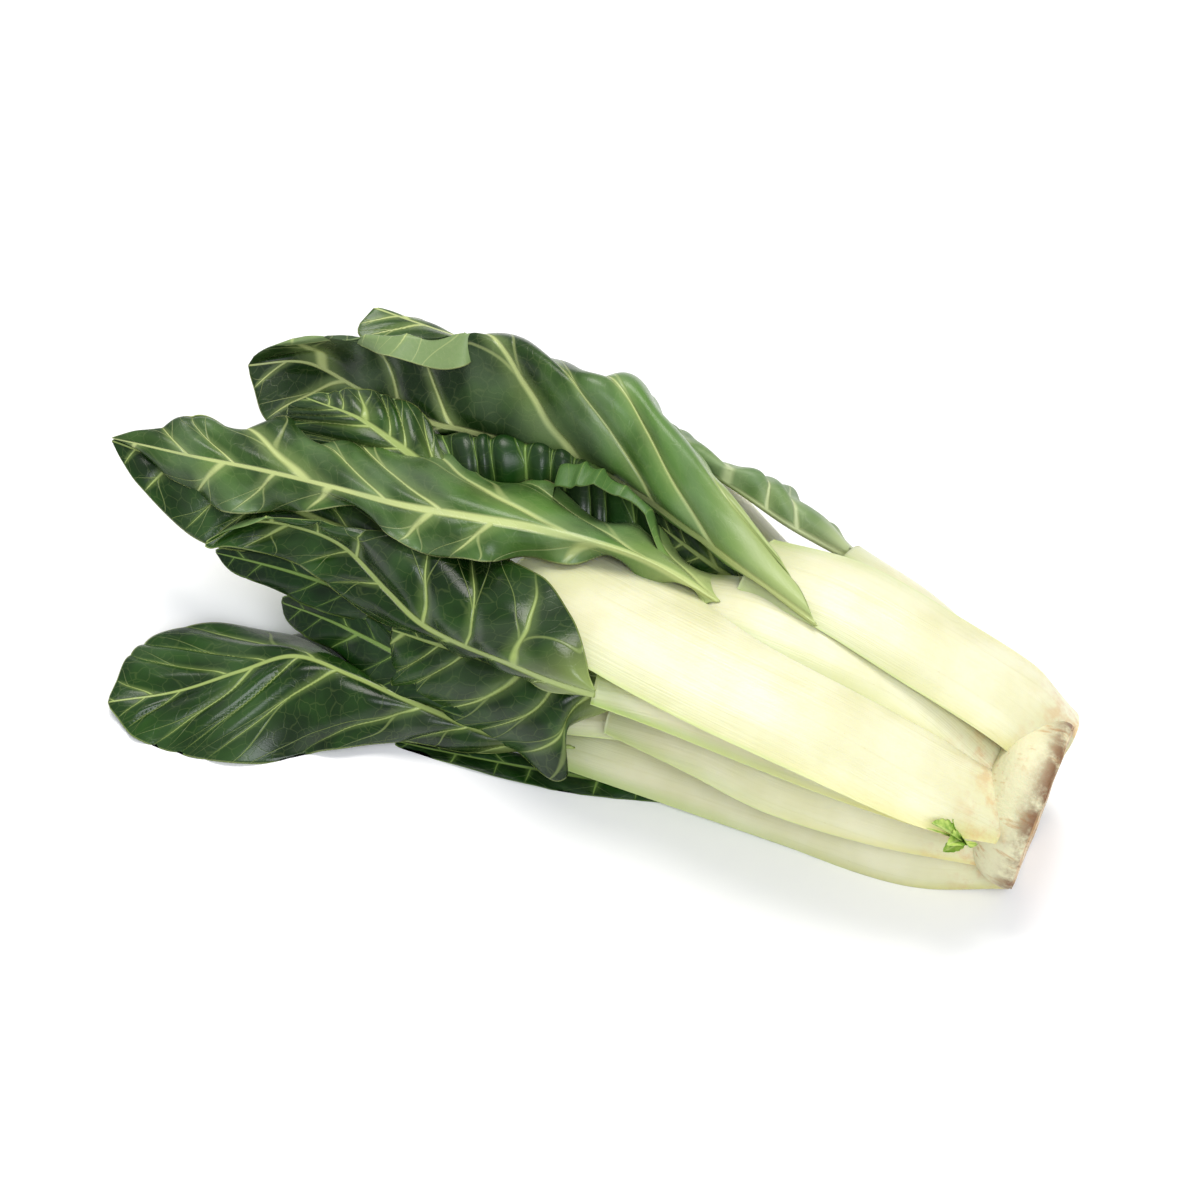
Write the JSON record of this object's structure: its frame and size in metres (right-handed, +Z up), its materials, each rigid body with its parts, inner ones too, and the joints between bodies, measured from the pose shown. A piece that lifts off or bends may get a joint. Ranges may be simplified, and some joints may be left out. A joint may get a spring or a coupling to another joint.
{
  "type": "swiss chard",
  "caption": "Head of leaf chard lying on its side, with broad white stalks spreading from a cut crown into folded, rolled dark green leaves.",
  "frame": {"origin": "middle of the bounding box, at the surface the head lies on", "axes": "+X from the leaf tips towards the cut crown, +Y across the head, +Z up"},
  "size_m": [0.4495, 0.2726, 0.1282],
  "materials": {
    "leaf": "glossy dark green leaf with pale veins",
    "stalk": "smooth waxy creamy white stalk",
    "crown": "dry cut crown, tan with brown edges",
    "sprout": "soft bright green side shoot"
  },
  "bodies": {
    "root": {"blade_back": "leaf", "blade_centre": "leaf", "blade_dark": "leaf", "blade_far": "leaf", "blade_floor": "leaf", "blade_front": "leaf", "blade_high": "leaf", "blade_low": "leaf", "blade_rear": "leaf", "blade_roll": "leaf", "blade_round": "leaf", "blade_shaded": "leaf", "blade_small": "leaf", "blade_top": "leaf", "blade_under": "leaf", "blade_upright": "leaf", "crown": "crown", "sprout": "sprout", "stalk_back": "stalk", "stalk_centre": "stalk", "stalk_dark": "stalk", "stalk_far": "stalk", "stalk_floor": "stalk", "stalk_front": "stalk", "stalk_high": "stalk", "stalk_low": "stalk", "stalk_rear": "stalk", "stalk_roll": "stalk", "stalk_round": "stalk", "stalk_second": "stalk", "stalk_shaded": "stalk", "stalk_top": "stalk"}
  },
  "joints": []
}
